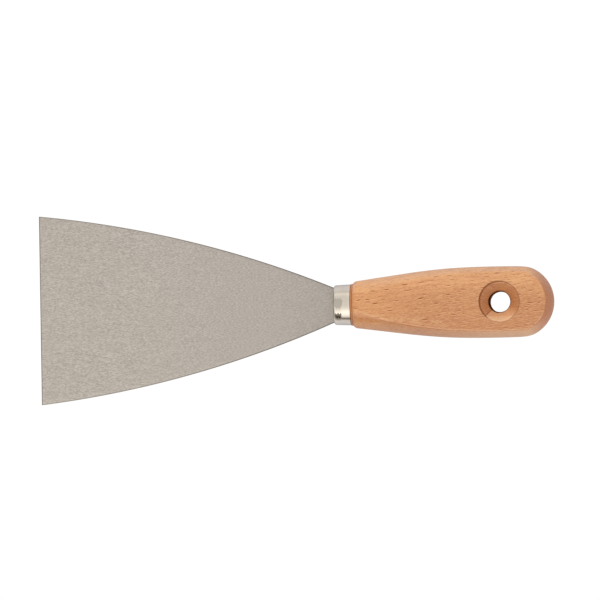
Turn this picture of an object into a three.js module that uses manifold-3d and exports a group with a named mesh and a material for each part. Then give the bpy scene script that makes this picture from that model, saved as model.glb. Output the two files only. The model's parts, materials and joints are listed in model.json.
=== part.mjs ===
// Drywall filling and taping knife with a 75 mm blade, built from the four pieces it comes apart into:
//
//   blade      taper-ground spring steel, one piece with the notched tang that runs inside the handle
//   ferrule    drawn steel cap with a slotted end wall, staked to the handle's tenon by two punch dimples
//   handle     beech: turned tenon, collar and shoulder, then a body with crowned sides and planed faces
//   tang_bond  resin that fills the tang slot around the tang
//
// Millimetres. The origin is the middle of the working edge. +X runs along the tool to the handle's end,
// +Y across the blade and +Z out of one broad face. The knife is symmetric about the XY and XZ planes.
// The ferrule, handle and resin sit in a group whose own origin is on the ferrule's front face, and
// their distances along X are measured from there. Nothing in the knife moves: the blade only flexes.

import * as THREE from "three";
import { mergeVertices } from "three/addons/utils/BufferGeometryUtils.js";
import Module from "manifold-3d";

const wasm = await Module();
wasm.setup();

// ---- driving dimensions ----------------------------------------------------------------------------

const BLADE_WIDTH = 75; // at the working edge
const BLADE_LENGTH = 117.1; // working edge to the ferrule's front face
const BLADE_SIDE_RADIUS = 415; // each long side is one arc that bulges outwards
const NECK_WIDTH = 13.8; // where the blade meets the ferrule
const EDGE_THICKNESS = 0.7;
const NECK_THICKNESS = 1.2; // also the tang's

// Distances along X from here on start at the ferrule's front face.
const TANG_LENGTH = 46;
const TANG_WIDTH = 10;
const TANG_END_WIDTH = 8;
const TANG_NOTCH_RADIUS = 1.2; // the notches key the resin
const TANG_NOTCHES = [18, 32];

const FERRULE_LENGTH = 6.7;
const FERRULE_FRONT_RADIUS = 7.85;
const FERRULE_REAR_RADIUS = 8.1;
const FERRULE_CORNER_RADIUS = 1;
const SHEET = 0.5; // the ferrule's wall
const DIMPLE_X = 1.9;
const DIMPLE_RADIUS = 1.7; // at the ferrule's surface
const DIMPLE_DEPTH = 0.3;

const COLLAR_RADIUS = 8.25; // wood a little proud of the ferrule, between it and the shoulder
const COLLAR_LENGTH = 0.8;
const SHOULDER_START_RADIUS = 8.4;
const SHOULDER_ARC_RADIUS = 3.4;
const SHOULDER_LENGTH = 1.9;

const THICKNESS = 19; // over the handle's planed faces
const BELLY_X = 64; // the widest place
const BELLY_HALF_WIDTH = 14.3;
const BELLY_RADIUS = 270; // the side's outline around the belly
const TAPER_END_X = 28; // the outline is straight from the shoulder to here
const END_X = 87.15; // the rear end
const END_RADIUS = 14.4; // the end's outline is an arc that meets the belly at a blunt corner
const END_BLEND = 1; // rounding of that corner
const SIDE_CROWN_RADIUS = 16.5; // the sides bulge between the two faces
const CROWN_END_X = 63; // the front section is round, and reaches the full side crown here
const FACE_CROWN_RADIUS = 80; // the faces roll off a little on both sides of a flat strip
const FACE_FLAT_HALF_WIDTH = 3.5;
const RIDGE_BLEND = 0.6; // rounding where a face meets a side

const HOLE_X = 65.9;
const HOLE_RADIUS = 4.1;
const COUNTERSINK_RADIUS = 8; // at the face, 90 degrees, on both faces

const GAP = 0.1; // between pieces that fit together
const BOND = 0.3; // the resin's thickness on each side of the tang
const PAST = 5; // how far cutters reach past what they cut

// ---- sizes that follow from them -------------------------------------------------------------------

const TENON_X = SHEET + GAP;
const COLLAR_X = FERRULE_LENGTH + GAP;
const SHOULDER_X = COLLAR_X + COLLAR_LENGTH;
const BODY_X = SHOULDER_X + SHOULDER_LENGTH;
const HALF_THICKNESS = THICKNESS / 2;
const FACE_APEX = HALF_THICKNESS + FACE_FLAT_HALF_WIDTH ** 2 / (2 * FACE_CROWN_RADIUS);
const END_CENTRE_X = END_X - END_RADIUS;
const POCKET_HALF = { width: TANG_WIDTH / 2 + GAP, thickness: NECK_THICKNESS / 2 + GAP };
const BOND_HALF = { width: POCKET_HALF.width + BOND, thickness: POCKET_HALF.thickness + BOND };
const SLOT_HALF = { width: BOND_HALF.width + GAP, thickness: BOND_HALF.thickness + GAP };
const BOND_END_X = TANG_LENGTH + GAP + BOND;
const SLOT_END_X = BOND_END_X + GAP;

// ---- solids and geometries -------------------------------------------------------------------------

/** A closed geometry as a manifold-3d solid. */
function solidOf(geometry) {
  const bare = geometry.clone();
  bare.deleteAttribute("normal");
  bare.deleteAttribute("uv");
  const merged = mergeVertices(bare);
  const corners = merged.index.array;
  const triangles = [];
  for (let i = 0; i < corners.length; i += 3) {
    const [a, b, c] = corners.slice(i, i + 3);
    // Triangles that shrink to a line, as at the poles of a turned shape, are left out.
    if (a !== b && b !== c && c !== a) triangles.push(a, b, c);
  }
  return new wasm.Manifold(
    new wasm.Mesh({
      numProp: 3,
      vertProperties: merged.getAttribute("position").array,
      triVerts: new Uint32Array(triangles),
    }),
  );
}

/** A manifold-3d solid as a geometry. */
function geometryOf(solid) {
  const mesh = solid.getMesh();
  const geometry = new THREE.BufferGeometry();
  geometry.setAttribute("position", new THREE.BufferAttribute(mesh.vertProperties, 3));
  geometry.setIndex(new THREE.BufferAttribute(mesh.triVerts, 1));
  geometry.computeVertexNormals();
  return geometry;
}

/** A box between two corners. */
function box(low, high) {
  const size = new THREE.Vector3().subVectors(high, low);
  const centre = new THREE.Vector3().addVectors(low, high).multiplyScalar(0.5);
  return new THREE.BoxGeometry(size.x, size.y, size.z).translate(centre.x, centre.y, centre.z);
}

/** A box that starts at x0, ends at x1 and is centred on the X axis. */
function axialBox(x0, x1, halfWidth, halfThickness) {
  return box(
    new THREE.Vector3(x0, -halfWidth, -halfThickness),
    new THREE.Vector3(x1, halfWidth, halfThickness),
  );
}

/** Turns a profile of (radius, distance) points about the X axis, with distances along +X. */
function turned(profile, segments) {
  return new THREE.LatheGeometry(profile, segments).rotateZ(-Math.PI / 2);
}

// ---- blade -----------------------------------------------------------------------------------------

/** Adds a long side of the tang to a shape: the +Y side away from the neck, or the -Y side back to it. */
function tangSide(shape, neckX, side, grow) {
  const start = new THREE.Vector2(neckX, TANG_WIDTH / 2 + grow);
  const end = new THREE.Vector2(neckX + TANG_LENGTH + grow, TANG_END_WIDTH / 2 + grow);
  const slope = (end.y - start.y) / (end.x - start.x);
  const radius = TANG_NOTCH_RADIUS - grow;
  const notches = side > 0 ? TANG_NOTCHES : [...TANG_NOTCHES].reverse();
  const from = side > 0 ? start : end;
  const to = side > 0 ? end : start;
  shape.lineTo(from.x, side * from.y);
  for (const distance of notches) {
    const x = neckX + distance;
    const y = side * (start.y + slope * distance);
    // Each notch is a half circle that bites into the tang from its edge.
    if (side > 0) shape.absarc(x, y, radius, Math.PI, 2 * Math.PI, false);
    else shape.absarc(x, y, radius, 0, Math.PI, false);
  }
  shape.lineTo(to.x, side * to.y);
}

/** The blade's plan with its tang. */
function bladeShape() {
  const edge = BLADE_WIDTH / 2;
  const neck = NECK_WIDTH / 2;
  // Centre of the +Y side's arc: on the chord's bisector, on the side of the blade's axis.
  const chord = new THREE.Vector2(BLADE_LENGTH, neck - edge);
  const middle = new THREE.Vector2(BLADE_LENGTH / 2, (edge + neck) / 2);
  const depth = Math.sqrt(BLADE_SIDE_RADIUS ** 2 - chord.lengthSq() / 4);
  const inward = new THREE.Vector2(chord.y, -chord.x).normalize();
  const centre = middle.clone().addScaledVector(inward, depth);
  const angle = (x, y) => Math.atan2(y - centre.y, x - centre.x);
  const atEdge = angle(0, edge);
  const atNeck = angle(BLADE_LENGTH, neck);

  const shape = new THREE.Shape();
  shape.moveTo(0, edge);
  shape.absarc(centre.x, centre.y, BLADE_SIDE_RADIUS, atEdge, atNeck, true);
  tangSide(shape, BLADE_LENGTH, 1, 0);
  tangSide(shape, BLADE_LENGTH, -1, 0);
  shape.lineTo(BLADE_LENGTH, -neck);
  shape.absarc(centre.x, -centre.y, BLADE_SIDE_RADIUS, -atNeck, -atEdge, true);
  return shape;
}

/** What grinding takes off the +Z face: a wedge that is deepest at the working edge. */
function grindingWedge() {
  const slope = (NECK_THICKNESS - EDGE_THICKNESS) / 2 / BLADE_LENGTH;
  const wedge = new THREE.Shape();
  wedge.moveTo(-PAST, EDGE_THICKNESS / 2 - slope * PAST);
  wedge.lineTo(BLADE_LENGTH, NECK_THICKNESS / 2);
  wedge.lineTo(BLADE_LENGTH, PAST);
  wedge.lineTo(-PAST, PAST);
  const width = BLADE_WIDTH + 2 * PAST;
  return new THREE.ExtrudeGeometry(wedge, { depth: width, bevelEnabled: false })
    .translate(0, 0, -width / 2)
    .rotateX(Math.PI / 2);
}

function bladeGeometry() {
  const plate = new THREE.ExtrudeGeometry(bladeShape(), {
    depth: NECK_THICKNESS,
    bevelEnabled: false,
    curveSegments: 24,
  }).translate(0, 0, -NECK_THICKNESS / 2);
  const wedge = solidOf(grindingWedge());
  return geometryOf(solidOf(plate).subtract(wedge).subtract(wedge.mirror([0, 0, 1])));
}

// ---- ferrule ---------------------------------------------------------------------------------------

/** The two punches that stake the ferrule, as balls on opposite sides of it, grown by a wall's thickness. */
function punches(grow) {
  const radius = (DIMPLE_RADIUS ** 2 + DIMPLE_DEPTH ** 2) / (2 * DIMPLE_DEPTH);
  const share = DIMPLE_X / FERRULE_LENGTH;
  const surface = THREE.MathUtils.lerp(FERRULE_FRONT_RADIUS, FERRULE_REAR_RADIUS, share);
  const balls = [0, Math.PI].map((turn) =>
    solidOf(
      new THREE.SphereGeometry(radius + grow, 40, 28)
        .translate(DIMPLE_X, 0, surface + radius - DIMPLE_DEPTH)
        .rotateX(turn),
    ),
  );
  return balls[0].add(balls[1]);
}

/** The ferrule's outside from the axis at the front to the rear rim, at a depth below the surface. */
function ferruleProfile(depth) {
  const profile = new THREE.Path();
  const corner = FERRULE_CORNER_RADIUS;
  profile.moveTo(0, depth);
  profile.lineTo(FERRULE_FRONT_RADIUS - corner, depth);
  profile.absarc(FERRULE_FRONT_RADIUS - corner, corner, corner - depth, -Math.PI / 2, 0, false);
  profile.lineTo(FERRULE_REAR_RADIUS - depth, FERRULE_LENGTH);
  return profile.getPoints(3);
}

function ferruleGeometry() {
  const outside = ferruleProfile(0);
  const inside = ferruleProfile(SHEET).reverse();
  const cap = solidOf(turned([...outside, ...inside], 64));
  const axis = new THREE.Vector2(0, FERRULE_LENGTH);
  const filled = solidOf(turned([...outside, axis], 64));
  const bulges = punches(SHEET).intersect(filled);
  const slot = solidOf(
    axialBox(-PAST, TENON_X, TANG_WIDTH / 2 + GAP, NECK_THICKNESS / 2 + GAP),
  );
  return geometryOf(cap.add(bulges).subtract(punches(0)).subtract(slot));
}

// ---- handle ----------------------------------------------------------------------------------------

/** Half-width of the outline on the belly's arc. */
function bellyHalfWidth(x) {
  return BELLY_HALF_WIDTH - BELLY_RADIUS + Math.sqrt(BELLY_RADIUS ** 2 - (x - BELLY_X) ** 2);
}

/** Half-width of the straight taper, which is tangent to the belly's arc. */
function taperHalfWidth(x) {
  const run = BELLY_X - TAPER_END_X;
  const slope = run / Math.sqrt(BELLY_RADIUS ** 2 - run ** 2);
  return bellyHalfWidth(TAPER_END_X) - slope * (TAPER_END_X - x);
}

/** Half-width of the body's long sides, seen from above, without the rounding of the end. */
function sideHalfWidth(x) {
  if (x > TAPER_END_X) return bellyHalfWidth(x);
  if (x > BODY_X) return taperHalfWidth(x);
  // The shoulder's arc rises from just above the collar to the taper.
  const drop = (at) =>
    SHOULDER_ARC_RADIUS - Math.sqrt(Math.max(SHOULDER_ARC_RADIUS ** 2 - (BODY_X - at) ** 2, 0));
  const rise = taperHalfWidth(BODY_X) - SHOULDER_START_RADIUS;
  return taperHalfWidth(BODY_X) - (rise * drop(x)) / drop(SHOULDER_X);
}

/** The smaller of two lengths, rounded where they cross. */
function roundedMin(a, b, blend) {
  const near = Math.max(blend - Math.abs(a - b), 0) / blend;
  return Math.min(a, b) - (near ** 2 * blend) / 4;
}

/** How far a point is inside the body's outline, seen from above. */
function insideOutline(x, y) {
  const side = sideHalfWidth(x) - Math.abs(y);
  const end = END_RADIUS - Math.hypot(Math.max(x - END_CENTRE_X, 0), y);
  return roundedMin(side, end, END_BLEND);
}

/** Half-width of the body's outline, from the shoulder to the end. */
function halfWidth(x) {
  const halvings = 50;
  let inside = 0;
  let outside = END_RADIUS;
  for (let i = 0; i < halvings; i++) {
    const middle = (inside + outside) / 2;
    if (insideOutline(x, middle) > 0) inside = middle;
    else outside = middle;
  }
  return inside;
}

/** Radius of the side's crown: round with the section at the front, flatter towards the belly. */
function crownRadius(x) {
  if (x <= BODY_X) return halfWidth(x);
  const left = Math.max(1 - (x - BODY_X) / (CROWN_END_X - BODY_X), 0);
  return THREE.MathUtils.lerp(SIDE_CROWN_RADIUS, taperHalfWidth(BODY_X), left ** 2);
}

/** Height of the body's surface above the XY plane. */
function bodyHeight(x, y) {
  const inside = Math.max(insideOutline(x, y), 0);
  const radius = crownRadius(x);
  const side = Math.sqrt(Math.max(radius ** 2 - (radius - inside) ** 2, 0));
  const face = Math.min(HALF_THICKNESS, FACE_APEX - y ** 2 / (2 * FACE_CROWN_RADIUS));
  return roundedMin(side, face, RIDGE_BLEND);
}

/** Signed widths of a section's points on its upper half, with a flat strip in the middle. */
function sectionWidths(half) {
  const sideSteps = 10;
  const flatSteps = 4;
  const flat = Math.min(FACE_FLAT_HALF_WIDTH, 0.4 * half);
  const widths = [];
  for (let i = 0; i < sideSteps; i++)
    widths.push(flat + (half - flat) * Math.cos((i / sideSteps) * (Math.PI / 2)));
  for (let i = 0; i <= flatSteps; i++) widths.push(flat * (1 - (2 * i) / flatSteps));
  for (let i = sideSteps - 1; i >= 0; i--) widths.push(-widths[i]);
  return widths;
}

/** A closed section at x: over the top from +Y to -Y, then back underneath. */
function section(x, half, height) {
  const upper = sectionWidths(half).map((y) => new THREE.Vector3(x, y, height(y)));
  const lower = upper.slice(1, -1).reverse();
  return [...upper, ...lower.map((p) => new THREE.Vector3(p.x, p.y, -p.z))];
}

function roundSection(x, radius) {
  return section(x, radius, (y) => Math.sqrt(Math.max(radius ** 2 - y ** 2, 0)));
}

function bodySection(x) {
  return section(x, halfWidth(x), (y) => bodyHeight(x, y));
}

/** Even steps from a to b, without b. */
function steps(a, b, count) {
  return Array.from({ length: count }, (_, i) => a + ((b - a) * i) / count);
}

/** Skins a row of sections that have the same number of points, and closes both ends. */
function loft(sections) {
  const around = sections[0].length;
  const points = sections.flat();
  const index = [];
  for (let i = 0; i < sections.length - 1; i++)
    for (let j = 0; j < around; j++) {
      const a = i * around + j;
      const b = i * around + ((j + 1) % around);
      index.push(a, b, a + around, b, b + around, a + around);
    }
  const capFan = (first, flip) => {
    for (let j = 1; j < around - 1; j++)
      index.push(first, ...(flip ? [first + j + 1, first + j] : [first + j, first + j + 1]));
  };
  capFan(0, true);
  capFan((sections.length - 1) * around, false);
  return new THREE.BufferGeometry().setFromPoints(points).setIndex(index);
}

/** The hanging hole with a countersink on each face. */
function holeCutter() {
  const cone = COUNTERSINK_RADIUS - HOLE_RADIUS;
  const top = HALF_THICKNESS + PAST;
  const profile = [
    [0, -top],
    [COUNTERSINK_RADIUS + PAST, -top],
    [HOLE_RADIUS, cone - HALF_THICKNESS],
    [HOLE_RADIUS, HALF_THICKNESS - cone],
    [COUNTERSINK_RADIUS + PAST, top],
    [0, top],
  ].map(([radius, z]) => new THREE.Vector2(radius, z));
  return new THREE.LatheGeometry(profile, 64).rotateX(Math.PI / 2).translate(HOLE_X, 0, 0);
}

function handleGeometry() {
  const tenonFront = FERRULE_FRONT_RADIUS - SHEET - GAP;
  const tenonRear = FERRULE_REAR_RADIUS - SHEET - GAP;
  const cornerX = TENON_X + FERRULE_CORNER_RADIUS - SHEET;
  const endSteps = 12;
  const endX = (i) => END_CENTRE_X + END_RADIUS * Math.sin((i / endSteps) * (Math.PI / 2));
  const body = loft([
    roundSection(TENON_X, tenonFront - (FERRULE_CORNER_RADIUS - SHEET)),
    roundSection(cornerX, tenonFront),
    roundSection(COLLAR_X, tenonRear),
    roundSection(COLLAR_X, COLLAR_RADIUS),
    roundSection(SHOULDER_X, COLLAR_RADIUS),
    ...steps(SHOULDER_X, BODY_X, 4).map(bodySection),
    ...steps(BODY_X, TAPER_END_X, 8).map(bodySection),
    ...steps(TAPER_END_X, END_CENTRE_X, 14).map(bodySection),
    ...steps(0, endSteps, endSteps).map((i) => bodySection(endX(i))),
    bodySection(endX(endSteps)),
  ]);
  const slot = axialBox(TENON_X - PAST, SLOT_END_X, SLOT_HALF.width, SLOT_HALF.thickness);
  return geometryOf(
    solidOf(body)
      .subtract(solidOf(holeCutter()))
      .subtract(solidOf(slot))
      .subtract(punches(SHEET + GAP)),
  );
}

// ---- tang bond -------------------------------------------------------------------------------------

/** The resin in the slot, with the tang's shape left open in it. */
function tangBondGeometry() {
  const pocket = new THREE.Shape();
  pocket.moveTo(-PAST, TANG_WIDTH / 2 + GAP);
  tangSide(pocket, 0, 1, GAP);
  tangSide(pocket, 0, -1, GAP);
  pocket.lineTo(-PAST, -TANG_WIDTH / 2 - GAP);
  const depth = 2 * POCKET_HALF.thickness;
  const cut = new THREE.ExtrudeGeometry(pocket, { depth, bevelEnabled: false }).translate(
    0,
    0,
    -depth / 2,
  );
  const fill = axialBox(TENON_X, BOND_END_X, BOND_HALF.width, BOND_HALF.thickness);
  return geometryOf(solidOf(fill).subtract(solidOf(cut)));
}

// ---- the knife -------------------------------------------------------------------------------------

const steel = new THREE.MeshStandardMaterial({ color: 0xb8afa5, roughness: 0.45, metalness: 1 });
const nickel = new THREE.MeshStandardMaterial({ color: 0xd6cbbb, roughness: 0.15, metalness: 1 });
const beech = new THREE.MeshStandardMaterial({ color: 0xcd9367, roughness: 0.45, metalness: 0 });
const resin = new THREE.MeshStandardMaterial({ color: 0xc9b98a, roughness: 0.4, metalness: 0 });

function piece(name, geometry, material) {
  const mesh = new THREE.Mesh(geometry, material);
  mesh.name = name;
  return mesh;
}

const grip = new THREE.Group();
grip.position.x = BLADE_LENGTH;
grip.add(piece("ferrule", ferruleGeometry(), nickel));
grip.add(piece("handle", handleGeometry(), beech));
grip.add(piece("tang_bond", tangBondGeometry(), resin));

const knife = new THREE.Group();
knife.add(piece("blade", bladeGeometry(), steel));
knife.add(grip);

export default knife;
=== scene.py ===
"""Looks for the taping knife.

Fine meshes stand for the blade, the ferrule and the handle. The rest is their materials and a plain studio.
"""

import json
import math

import bmesh
import bpy
import numpy as np
from mathutils import Matrix, Vector


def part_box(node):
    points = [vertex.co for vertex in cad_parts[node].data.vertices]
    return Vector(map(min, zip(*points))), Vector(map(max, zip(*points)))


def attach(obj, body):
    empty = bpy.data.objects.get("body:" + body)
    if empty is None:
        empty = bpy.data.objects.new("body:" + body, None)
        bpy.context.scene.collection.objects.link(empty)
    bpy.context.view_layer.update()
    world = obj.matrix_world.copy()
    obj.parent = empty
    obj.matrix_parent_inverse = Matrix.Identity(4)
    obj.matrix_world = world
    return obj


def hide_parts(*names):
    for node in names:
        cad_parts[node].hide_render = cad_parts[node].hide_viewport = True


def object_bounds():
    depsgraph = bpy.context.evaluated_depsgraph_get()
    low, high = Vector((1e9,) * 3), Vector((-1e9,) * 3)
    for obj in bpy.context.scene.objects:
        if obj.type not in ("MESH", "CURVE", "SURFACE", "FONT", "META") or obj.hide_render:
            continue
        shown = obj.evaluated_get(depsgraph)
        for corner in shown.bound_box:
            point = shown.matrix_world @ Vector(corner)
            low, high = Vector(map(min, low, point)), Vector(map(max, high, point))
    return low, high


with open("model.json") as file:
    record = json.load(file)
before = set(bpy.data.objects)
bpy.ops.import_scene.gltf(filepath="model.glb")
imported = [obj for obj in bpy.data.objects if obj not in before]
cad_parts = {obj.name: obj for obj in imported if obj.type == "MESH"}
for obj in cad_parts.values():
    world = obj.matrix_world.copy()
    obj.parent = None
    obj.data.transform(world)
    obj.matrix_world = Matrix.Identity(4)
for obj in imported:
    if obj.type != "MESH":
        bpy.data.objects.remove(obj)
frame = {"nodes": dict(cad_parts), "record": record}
cad_low, cad_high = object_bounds()

MM = 0.001  # metres in a millimetre


def box_mm(node):
    """A node's lowest and highest corners in millimetres."""
    low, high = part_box(node)
    return np.array(low) / MM, np.array(high) / MM


_, BLADE_HIGH = box_mm("blade")
FERRULE_LOW, FERRULE_HIGH = box_mm("ferrule")
_, HANDLE_HIGH = box_mm("handle")

# ---- sizes in millimetres, with distances along X from the ferrule's front face in the grip --------------

NECK_X = FERRULE_LOW[0]
EDGE_HALF_WIDTH = BLADE_HIGH[1]
NECK_HALF_WIDTH = 6.9
BLADE_SIDE_RADIUS = 415.0
NECK_HALF_THICKNESS = BLADE_HIGH[2]
EDGE_HALF_THICKNESS = 0.35
BLADE_CORNER = 0.16  # rounding of the blade's long edges
EDGE_CHAMFER = 0.08  # on the working edge
TANG_END_X = BLADE_HIGH[0]
TANG_HALF_WIDTHS = (5.0, 4.0)  # at the neck and at the end
TANG_NOTCHES = (18.0, 32.0)
TANG_NOTCH_RADIUS = 1.2

FERRULE_LENGTH = FERRULE_HIGH[0] - FERRULE_LOW[0]
FERRULE_FRONT_RADIUS = 7.85
FERRULE_REAR_RADIUS = FERRULE_HIGH[1]
FERRULE_CORNER = 1.0
SHEET = 0.5
FERRULE_LIP = 0.12  # rounding of the ferrule's rear rim
FERRULE_SLOT_GAP = 0.1  # between the blade and the ferrule's slot
RING_POINTS = 256

HALF_THICKNESS = HANDLE_HIGH[2]
BELLY_X = 64.0
BELLY_HALF_WIDTH = 14.3
BELLY_RADIUS = 270.0
TAPER_END_X = 28.0
END_RADIUS = 14.4
END_CENTRE_X = HANDLE_HIGH[0] - NECK_X - END_RADIUS
END_BLEND = 1.0
SIDE_CROWN_RADIUS = 16.5
CROWN_END_X = 63.0
FACE_CROWN_RADIUS = 80.0
FACE_FLAT_HALF_WIDTH = 3.5
RIDGE_BLEND = 0.6
FACE_APEX = HALF_THICKNESS + FACE_FLAT_HALF_WIDTH**2 / (2 * FACE_CROWN_RADIUS)

TENON_X = 0.6
TENON_GAP = 0.12  # between the tenon and the ferrule
COLLAR_X = FERRULE_LENGTH + 0.1
SHOULDER_X = FERRULE_LENGTH + 0.9
BODY_X = FERRULE_LENGTH + 2.8
COLLAR_RADIUS = 8.25
SHOULDER_START_RADIUS = 8.4
SHOULDER_ARC_RADIUS = 3.4
SLOT_END_X = 46.5
SLOT_HALF = (5.5, 1.1)

HOLE_X = 65.9
HOLE_RADIUS = 4.1
COUNTERSINK_RADIUS = 8.0
RIM_LIP = 0.35  # from the countersink's rim to the last ring on the face
BORE_ROUNDING = 0.55  # between the cone and the bore

# ---- surfaces --------------------------------------------------------------------------------------------


class Surface:
    """Points in millimetres and the faces that join them."""

    def __init__(self):
        self.points = []
        self.faces = []

    def add(self, points):
        """Adds points and returns their numbers as a list."""
        first = len(self.points)
        self.points.extend(tuple(float(c) for c in p) for p in points)
        return list(range(first, len(self.points)))

    def strip(self, a, b):
        """Joins two open rows of the same length."""
        for i in range(len(a) - 1):
            self.face(a[i], a[i + 1], b[i + 1], b[i])

    def bridge(self, a, b):
        """Joins two closed rings of the same length."""
        self.strip(a + a[:1], b + b[:1])

    def face(self, *corners):
        """Adds a face, without corners that come twice."""
        kept = list(dict.fromkeys(corners))
        if len(kept) > 2:
            self.faces.append(kept)

    def cap(self, ring, centre):
        """Closes a ring with a fan about a point."""
        (middle,) = self.add([centre])
        for a, b in zip(ring, ring[1:] + ring[:1]):
            self.face(a, b, middle)

    def piece(self, name, node, slot, material, sharp_degrees):
        """Makes the object that stands for a CAD node."""
        mesh = bpy.data.meshes.new(name)
        mesh.from_pydata([Vector(p) * MM for p in self.points], [], self.faces)
        make_faces_point_out(mesh)
        mesh.shade_smooth()
        mesh.set_sharp_from_angle(angle=math.radians(sharp_degrees))
        mesh.materials.append(material)
        piece = bpy.data.objects.new(name, mesh)
        bpy.context.scene.collection.objects.link(piece)
        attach(piece, "root")
        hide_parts(node)
        return piece


def make_faces_point_out(mesh):
    """Welds touching points and turns every face outwards."""
    work = bmesh.new()
    work.from_mesh(mesh)
    bmesh.ops.remove_doubles(work, verts=work.verts, dist=1e-7)
    bmesh.ops.recalc_face_normals(work, faces=work.faces)
    work.to_mesh(mesh)
    work.free()


def spread(a, b, count):
    """Even steps from a to b, both included."""
    return np.linspace(a, b, count)


# ---- blade -----------------------------------------------------------------------------------------------


def blade_side_centre():
    """Centre of the arc of the blade's +Y side, from the working edge to the neck."""
    chord = np.array([NECK_X, NECK_HALF_WIDTH - EDGE_HALF_WIDTH])
    middle = np.array([NECK_X / 2, (EDGE_HALF_WIDTH + NECK_HALF_WIDTH) / 2])
    length = np.hypot(*chord)
    depth = math.sqrt(BLADE_SIDE_RADIUS**2 - length**2 / 4)
    return middle + np.array([chord[1], -chord[0]]) / length * depth


def blade_half_width(x):
    centre = blade_side_centre()
    return centre[1] + math.sqrt(BLADE_SIDE_RADIUS**2 - (x - centre[0]) ** 2)


def tang_half_width(x):
    """Half-width of the tang, with its round notches."""
    along = (x - NECK_X) / (TANG_END_X - NECK_X)
    edge = TANG_HALF_WIDTHS[0] + (TANG_HALF_WIDTHS[1] - TANG_HALF_WIDTHS[0]) * along
    for notch in TANG_NOTCHES:
        away = abs(x - NECK_X - notch)
        if away < TANG_NOTCH_RADIUS:
            edge -= math.sqrt(TANG_NOTCH_RADIUS**2 - away**2)
    return edge


def plate_ring(x, half_width, half_thickness, corner):
    """A rounded rectangle across the blade."""
    corner = min(corner, half_thickness * 0.95)
    flat = half_width - corner
    quarter = []
    for y in spread(0, flat, 14)[:-1]:
        quarter.append((y, half_thickness))
    for turn in spread(math.pi / 2, 0, 5):
        quarter.append((flat + corner * math.cos(turn), half_thickness - corner * (1 - math.sin(turn))))
    upper = [(-y, z) for y, z in reversed(quarter)] + quarter[1:]
    lower = [(y, -z) for y, z in reversed(upper)]
    return [(x, y, z) for y, z in upper + lower]


def build_blade(material):
    skin = Surface()
    slope = (NECK_HALF_THICKNESS - EDGE_HALF_THICKNESS) / NECK_X

    def ring(x, half_width, corner=BLADE_CORNER, thinner=0.0):
        thickness = EDGE_HALF_THICKNESS + slope * min(x, NECK_X) - thinner
        return skin.add(plate_ring(x, half_width, thickness, corner))

    rings = [ring(0.0, EDGE_HALF_WIDTH - EDGE_CHAMFER, thinner=EDGE_CHAMFER)]
    rings += [ring(x, blade_half_width(x)) for x in spread(EDGE_CHAMFER, NECK_X, 60)]
    tang_xs = list(spread(NECK_X, TANG_END_X, 24))
    for notch in TANG_NOTCHES:
        turns = spread(0, math.pi, 15)
        tang_xs += [NECK_X + notch - 0.9999 * TANG_NOTCH_RADIUS * math.cos(t) for t in turns]
    rings += [ring(x, tang_half_width(x)) for x in sorted(tang_xs)]
    for a, b in zip(rings, rings[1:]):
        skin.bridge(a, b)
    skin.cap(rings[0], (0, 0, 0))
    skin.cap(rings[-1], (TANG_END_X, 0, 0))
    return skin.piece("blade_visual", "blade", "ground_steel", material, 35)


# ---- ferrule ---------------------------------------------------------------------------------------------

DENT_X = 1.9
DENT_HALF_LENGTH = 1.75
DENT_DEPTH = 0.17


def hump(value, middle, width):
    """A smooth bump of height 1."""
    return math.exp(-(((value - middle) / width) ** 2))


def dent(x, y, z):
    """How far the punch pushes in a point of the ferrule's wall. The wall bulges and creases beside it."""
    along = 1 - smooth(abs(x - DENT_X) / DENT_HALF_LENGTH)
    turn = math.degrees(math.atan2(-y, abs(z)))  # from the middle of the face towards -Y
    flat = DENT_DEPTH * hump(turn, 0, 12)
    crease = 0.06 * hump(turn, 46, 8) - 0.10 * hump(turn, 27, 8)
    return along * (flat + crease)


def smooth(share):
    """A smooth step from 0 to 1 over the second half of the range."""
    at = min(max(2 * share - 1, 0), 1)
    return at * at * (3 - 2 * at)


def wall_ring(skin, x, radius, count, dented=True):
    """A ring of the ferrule's wall, from +Y over +Z."""
    points = []
    for i in range(count):
        turn = 2 * math.pi * i / count
        y, z = radius * math.cos(turn), radius * math.sin(turn)
        inner = radius - (dent(x, y, z) if dented else 0)
        points.append((NECK_X + x, inner * math.cos(turn), inner * math.sin(turn)))
    return skin.add(points)


def slot_ring(skin, x, half_width, half_height, count):
    """A rectangle with as many points as a ring, starting on the middle of its +Y side."""
    corners = [(half_width, 0), (half_width, half_height), (-half_width, half_height)]
    corners += [(-half_width, 0), (-half_width, -half_height), (half_width, -half_height)]
    half = count // 2
    points = []
    for i in range(half):
        if i == 0:
            y, z = corners[0]
        else:
            share = (i - 1) / (half - 2)
            y, z = half_width * (1 - 2 * share), half_height
        points.append((y, z))
    points += [(-y, -z) for y, z in points]
    return skin.add([(NECK_X + x, y, z) for y, z in points])


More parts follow.
